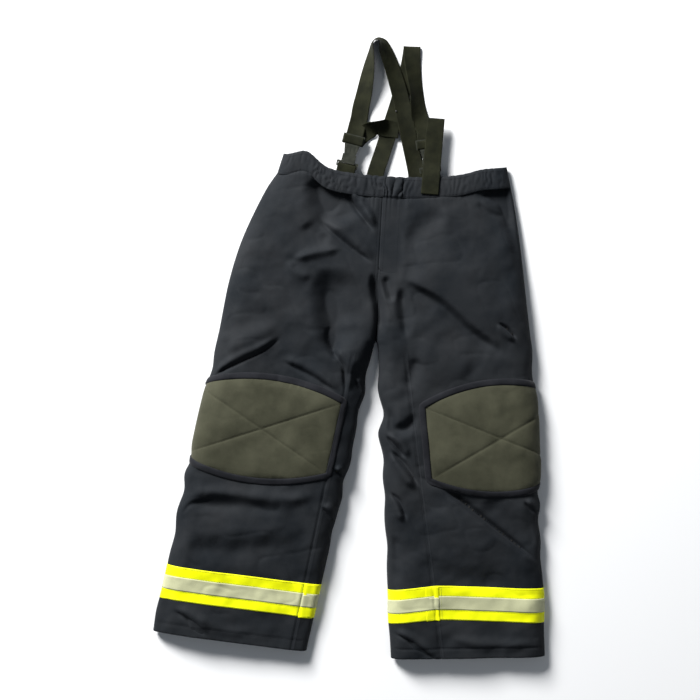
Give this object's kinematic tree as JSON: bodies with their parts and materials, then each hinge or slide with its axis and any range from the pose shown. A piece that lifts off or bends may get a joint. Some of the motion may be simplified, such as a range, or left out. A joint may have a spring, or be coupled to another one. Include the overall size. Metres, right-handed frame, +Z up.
{
  "type": "bunker pants",
  "caption": "Firefighter over-trousers laid flat, with quilted knee pads, reflective bands, and crossed elastic braces on squeeze clasps.",
  "frame": {"origin": "bottom centre of the whole garment's box, lying face up with its braces laid out", "axes": "+X to the wearer's left, +Y along the garment to the waist and braces, +Z up out of its front"},
  "size_m": [0.8664, 1.3632, 0.0465],
  "materials": {
    "shell_cloth": "matt, tightly woven aramid cloth, near-black navy",
    "moisture_barrier": "thin coated cloth, off-white",
    "quilted_liner": "quilted felt and cloth",
    "cuff": "matt coated cloth",
    "trim_yellow": "fluorescent yellow, matt",
    "trim_silver": "retroreflective silver-grey",
    "knee_foam": "closed-cell foam",
    "knee_cover": "khaki-olive coated canvas, stitched in diagonals",
    "knee_border": "dark navy binding",
    "elastic": "woven elastic",
    "metal": "aged brass",
    "zip_tape": "black tape",
    "clasp_plastic": "moulded grey-olive plastic, satin",
    "tack": "black",
    "webbing": "dark olive woven elastic webbing"
  },
  "bodies": {
    "trousers": {"right_front_panel": "shell_cloth", "left_front_panel": "shell_cloth", "right_back_panel": "shell_cloth", "left_back_panel": "shell_cloth", "right_inner_leg_panel": "shell_cloth", "left_inner_leg_panel": "shell_cloth", "seat_moisture_barrier": "moisture_barrier", "seat_liner": "quilted_liner", "right_waistband_front": "shell_cloth", "left_waistband_front": "shell_cloth", "waistband_back": "shell_cloth", "waistband_elastic": "elastic", "waist_snap_stud": "metal", "zip_tapes": "zip_tape", "zip_teeth": "metal", "fly_shield": "shell_cloth", "strap_anchors": "webbing", "right_knee_foam": "knee_foam", "right_knee_cover": "knee_cover", "right_knee_border": "knee_border", "left_knee_foam": "knee_foam", "left_knee_cover": "knee_cover", "left_knee_border": "knee_border"},
    "right_shin": {"right_shin_front_panel": "shell_cloth", "right_shin_back_panel": "shell_cloth", "right_shin_inner_panel": "shell_cloth", "right_shin_moisture_barrier": "moisture_barrier", "right_shin_liner": "quilted_liner", "right_hem_cuff": "cuff", "right_trim_yellow": "trim_yellow", "right_trim_silver": "trim_silver"},
    "left_shin": {"left_shin_front_panel": "shell_cloth", "left_shin_back_panel": "shell_cloth", "left_shin_inner_panel": "shell_cloth", "left_shin_moisture_barrier": "moisture_barrier", "left_shin_liner": "quilted_liner", "left_hem_cuff": "cuff", "left_trim_yellow": "trim_yellow", "left_trim_silver": "trim_silver"},
    "braces": {"right_brace": "webbing", "left_brace": "webbing", "cross_tack": "tack", "left_strap_tail": "webbing", "clasp_tabs": "webbing", "right_receiver": "clasp_plastic", "left_receiver": "clasp_plastic"},
    "right_clasp": {"right_clasp_body": "clasp_plastic", "right_clasp_strap": "webbing", "right_strap_tail": "webbing"},
    "left_clasp": {"left_clasp_body": "clasp_plastic", "left_clasp_strap": "webbing"},
    "right_inner_prong": {"right_inner_prong": "clasp_plastic"},
    "right_outer_prong": {"right_outer_prong": "clasp_plastic"},
    "left_inner_prong": {"left_inner_prong": "clasp_plastic"},
    "left_outer_prong": {"left_outer_prong": "clasp_plastic"},
    "zip": {"zip_slider": "metal", "zip_puller": "metal"},
    "fly": {"fly_flap": "shell_cloth", "waist_tab": "shell_cloth", "waist_snap_cap": "metal"}
  },
  "joints": [
    {"name": "right_leg_fold", "type": "hinge", "parent": "trousers", "child": "right_shin", "pos_m": [-0.21021, -0.33413, 0.046], "axis": [-0.9973, 0.0732, 0], "range_deg": [0, 170]},
    {"name": "left_leg_fold", "type": "hinge", "parent": "trousers", "child": "left_shin", "pos_m": [0.23042, -0.33682, 0.046], "axis": [-0.9973, -0.0732, 0], "range_deg": [0, 170]},
    {"name": "brace_fold", "type": "hinge", "parent": "trousers", "child": "braces", "pos_m": [0.03946, 0.38544, 0.03], "axis": [1, 0, 0], "range_deg": [0, 120]},
    {"name": "right_clasp_release", "type": "slide", "parent": "braces", "child": "right_clasp", "axis": [0.1908, 0.9816, 0], "range_m": [0, 0.028]},
    {"name": "right_inner_prong_squeeze", "type": "hinge", "parent": "right_clasp", "child": "right_inner_prong", "pos_m": [-0.05304, 0.41832, 0.014], "axis": [0, 0, -1], "range_deg": [0, 6], "stiffness_Nm_per_rad": 0.02},
    {"name": "right_outer_prong_squeeze", "type": "hinge", "parent": "right_clasp", "child": "right_outer_prong", "pos_m": [-0.06973, 0.42156, 0.014], "axis": [0, 0, 1], "range_deg": [0, 6], "stiffness_Nm_per_rad": 0.02},
    {"name": "left_clasp_release", "type": "slide", "parent": "braces", "child": "left_clasp", "axis": [-0.1908, 0.9816, 0], "range_m": [0, 0.028]},
    {"name": "left_inner_prong_squeeze", "type": "hinge", "parent": "left_clasp", "child": "left_inner_prong", "pos_m": [0.10497, 0.41832, 0.014], "axis": [0, 0, 1], "range_deg": [0, 6], "stiffness_Nm_per_rad": 0.02},
    {"name": "left_outer_prong_squeeze", "type": "hinge", "parent": "left_clasp", "child": "left_outer_prong", "pos_m": [0.12165, 0.42156, 0.014], "axis": [0, 0, -1], "range_deg": [0, 6], "stiffness_Nm_per_rad": 0.02},
    {"name": "zip_slide", "type": "slide", "parent": "trousers", "child": "zip", "axis": [0, -0.998, 0.0628], "range_m": [0, 0.118]},
    {"name": "fly_open", "type": "hinge", "parent": "trousers", "child": "fly", "pos_m": [0.05846, 0.26344, 0.03246], "axis": [0, 0.998, -0.0628], "range_deg": [0, 120]}
  ],
  "couplings": [
    {"joint": "right_outer_prong_squeeze", "follows": "right_inner_prong_squeeze", "ratio": 1},
    {"joint": "left_outer_prong_squeeze", "follows": "left_inner_prong_squeeze", "ratio": 1}
  ]
}
